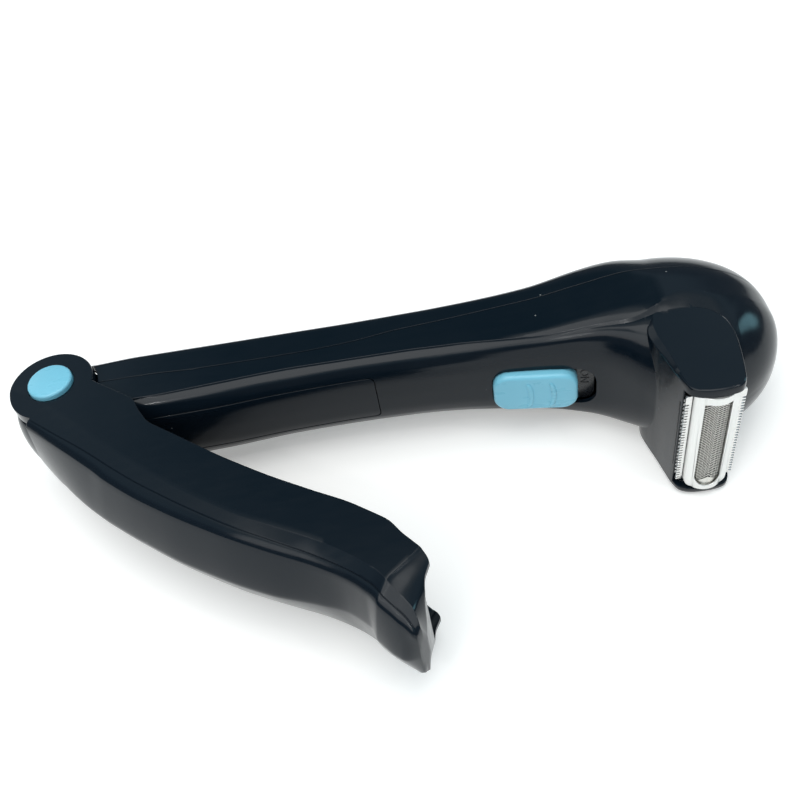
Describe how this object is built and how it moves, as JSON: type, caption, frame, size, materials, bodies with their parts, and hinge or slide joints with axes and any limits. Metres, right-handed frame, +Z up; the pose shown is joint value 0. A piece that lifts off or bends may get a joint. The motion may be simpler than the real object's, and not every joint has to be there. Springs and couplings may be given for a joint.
{
  "type": "electric back shaver",
  "caption": "Folding long-reach electric back shaver: channelled handle hinged to a hollow arm with a side-facing foil shaving head, slide switch and lock button.",
  "frame": {"origin": "bottom centre of the bounding box, with the shaver lying on its side and its handle half folded", "axes": "+X along the arm from the hinge to the head, the shaving foil faces -Y, +Z up along the hinge axis"},
  "size_m": [0.267, 0.1352, 0.054],
  "materials": {
    "navy_plastic": "glossy near-black navy moulded plastic",
    "blue_plastic": "satin light blue moulded plastic",
    "black_plastic": "fine matt black moulded plastic",
    "foil_steel": "bright rolled and etched stainless steel",
    "frame_silver": "smooth bright silver",
    "plain_steel": "plain drawn, turned and plated steel",
    "brass": "bare stamped brass",
    "cell_wrap": "plain printed-film cell wrap, no lettering",
    "board_green": "green lacquered board",
    "wire_red": "red wire insulation",
    "wire_black": "black wire insulation"
  },
  "bodies": {
    "arm": {"rear_shell": "navy_plastic", "front_shell": "navy_plastic", "hinge_barrel": "navy_plastic", "hinge_washer_top": "plain_steel", "hinge_washer_bottom": "plain_steel", "battery_tray": "black_plastic", "battery_cell_upper": "cell_wrap", "battery_cell_lower": "cell_wrap", "battery_spring_upper": "plain_steel", "battery_spring_lower": "plain_steel", "contact_bridge": "plain_steel", "contact_plus": "plain_steel", "contact_minus": "plain_steel", "switch_track": "black_plastic", "contact_board": "board_green", "battery_wire_red": "wire_red", "battery_wire_black": "wire_black", "motor_wire_red": "wire_red", "motor_wire_black": "wire_black", "motor_can": "plain_steel", "motor_cap": "black_plastic", "motor_mount": "black_plastic", "shell_screw_1": "plain_steel", "shell_screw_2": "plain_steel", "shell_screw_3": "plain_steel", "shell_screw_4": "plain_steel", "shell_screw_5": "plain_steel"},
    "handle": {"handle_shell": "navy_plastic", "pivot_pin": "plain_steel"},
    "lock": {"lock_button": "blue_plastic", "lock_gear": "plain_steel", "lock_spring": "plain_steel"},
    "switch": {"power_switch": "blue_plastic", "switch_wiper": "brass"},
    "battery_door": {"battery_cover": "navy_plastic"},
    "drive": {"motor_shaft": "plain_steel", "cam_disc": "black_plastic"},
    "shaving_head": {"head_base": "black_plastic", "foil_frame": "frame_silver", "shaving_foil": "foil_steel", "comb_left": "foil_steel", "comb_right": "foil_steel"},
    "cutter": {"cutter_carrier": "black_plastic", "trimmer_blade_left": "foil_steel", "trimmer_blade_right": "foil_steel", "cutter_spring_upper": "plain_steel", "cutter_spring_lower": "plain_steel"},
    "cutter_float": {"inner_cutter": "foil_steel"}
  },
  "joints": [
    {"name": "handle_fold", "type": "hinge", "parent": "arm", "child": "handle", "pos_m": [-0.116, 0.0459, 0.027], "axis": [0, 0, 1], "range_deg": [-142.4, 23]},
    {"name": "lock_press", "type": "slide", "parent": "arm", "child": "lock", "axis": [0, 0, -1], "range_m": [0, 0.0025], "stiffness_N_per_m": 1000, "springref_m": -0.002, "deforming": ["lock_spring"]},
    {"name": "switch_slide", "type": "slide", "parent": "arm", "child": "switch", "axis": [0.989, -0.1478, 0], "range_m": [0, 0.006]},
    {"name": "door_slide", "type": "slide", "parent": "arm", "child": "battery_door", "axis": [-1, 0, 0], "range_m": [0, 0.0025]},
    {"name": "motor_spin", "type": "hinge", "parent": "arm", "child": "drive", "pos_m": [0.0995, 0.0169, 0.027], "axis": [0, -1, 0], "continuous": true},
    {"name": "head_pull", "type": "slide", "parent": "arm", "child": "shaving_head", "axis": [0, -1, 0], "range_m": [0, 0.02]},
    {"name": "cutter_stroke", "type": "slide", "parent": "shaving_head", "child": "cutter", "axis": [0, 0, 1], "range_m": [-0.0012, 0.0012]},
    {"name": "cutter_give", "type": "slide", "parent": "cutter", "child": "cutter_float", "axis": [0, 1, 0], "range_m": [0, 0.0004], "stiffness_N_per_m": 300, "springref_m": -0.0015}
  ]
}
